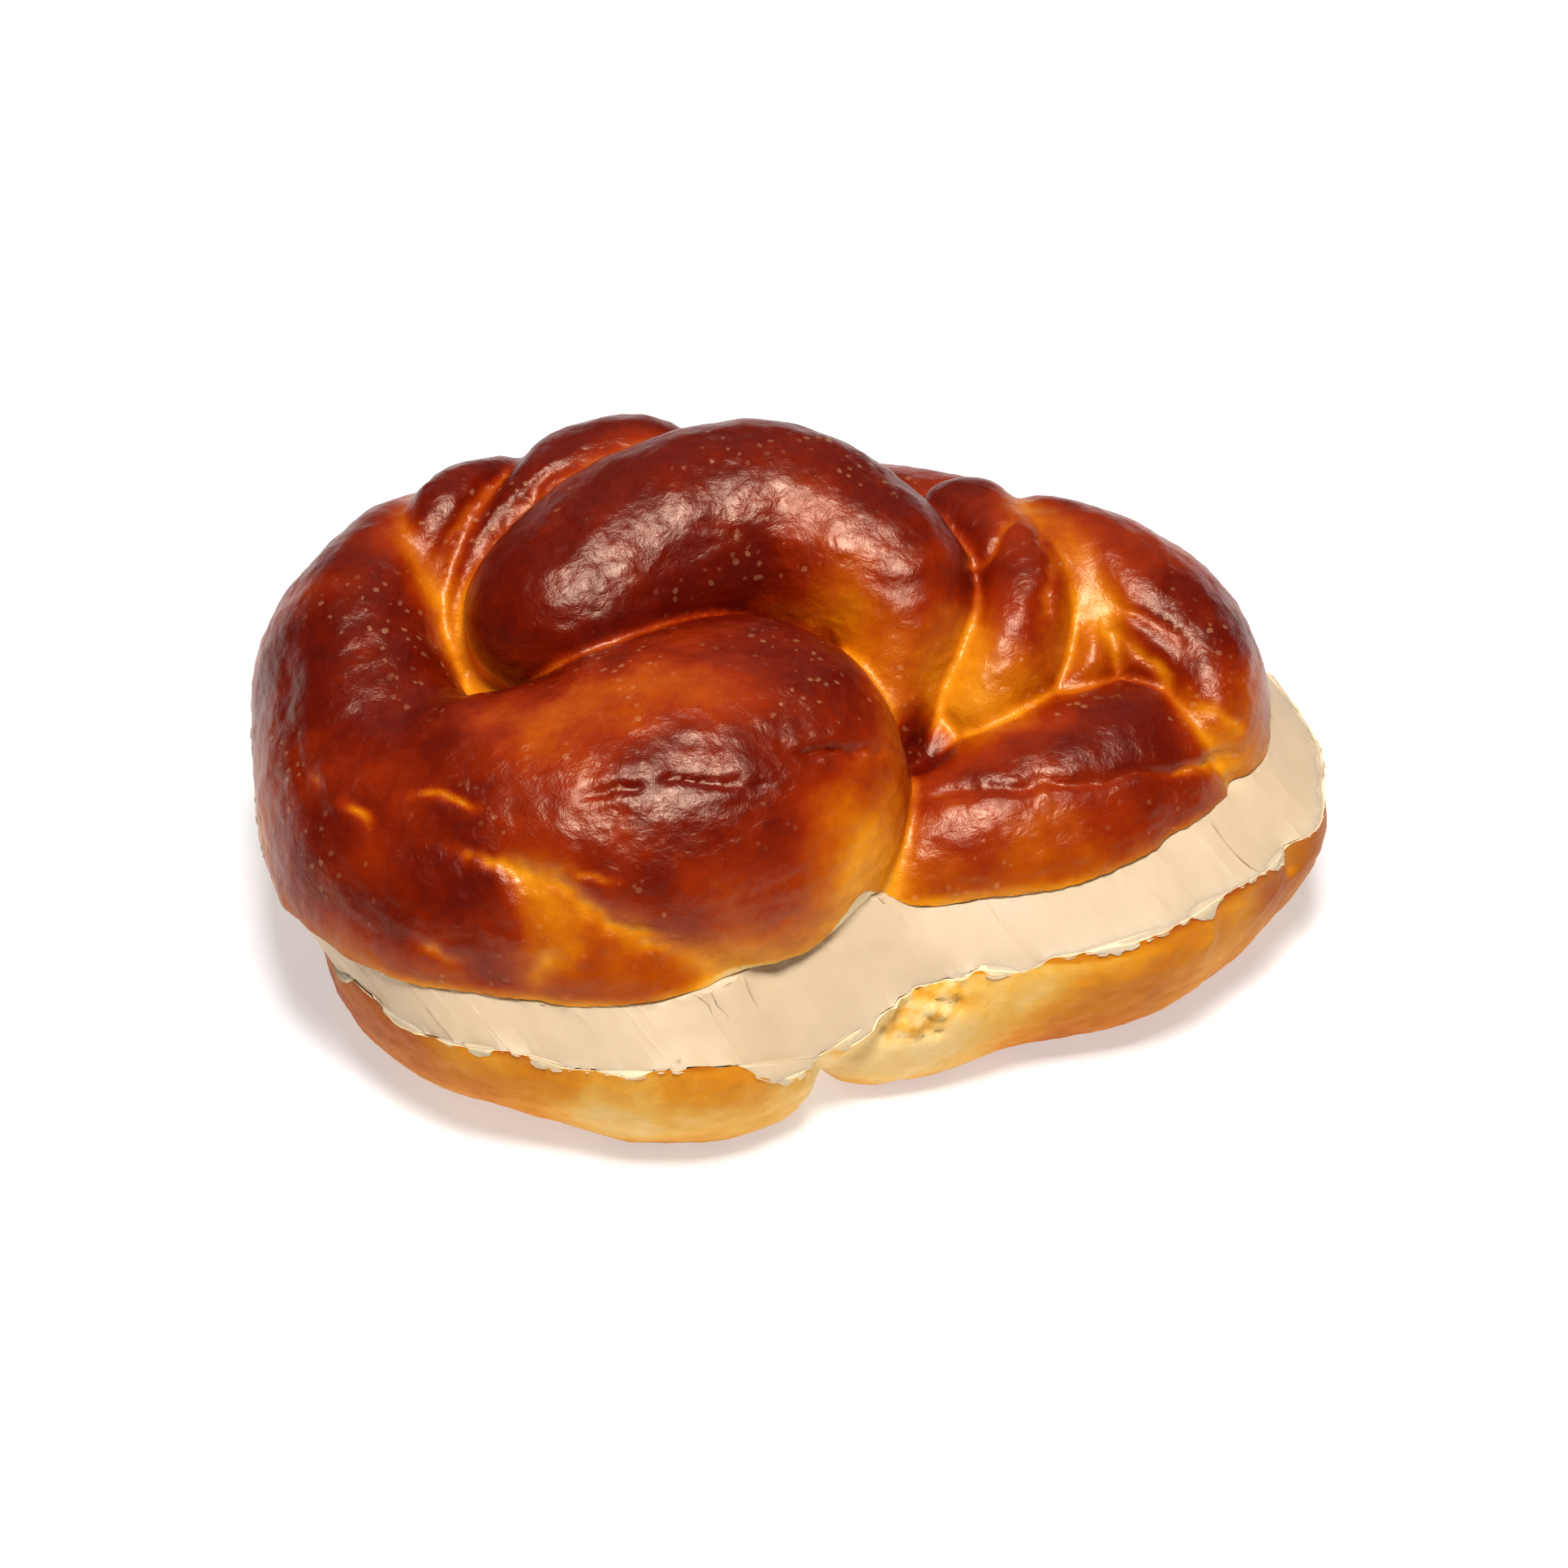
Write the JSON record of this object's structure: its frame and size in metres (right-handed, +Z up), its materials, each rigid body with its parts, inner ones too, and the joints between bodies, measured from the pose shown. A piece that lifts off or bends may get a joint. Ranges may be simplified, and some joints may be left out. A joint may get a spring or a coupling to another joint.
{
  "type": "pretzel roll",
  "caption": "Glossy knotted bread roll sliced through, its upper half set askew on a thick layer of cream filling.",
  "frame": {"origin": "centre of the plan of the whole filled roll, on the surface it rests on", "axes": "+X along the roll's length towards the slimmer lobe, +Z up, the knot's front lobe faces -Y"},
  "size_m": [0.1308, 0.0978, 0.0534],
  "materials": {
    "golden_crust": "soft satin baked crust, pale gold at the base and brown at the left",
    "cream": "soft matte cream with a faint sheen",
    "brown_crust": "glossy lye-dipped crust, mahogany on the crowns and amber in the creases"
  },
  "bodies": {
    "root": {"lower_half": "golden_crust", "cream_filling": "cream", "upper_half": "brown_crust"}
  },
  "joints": []
}
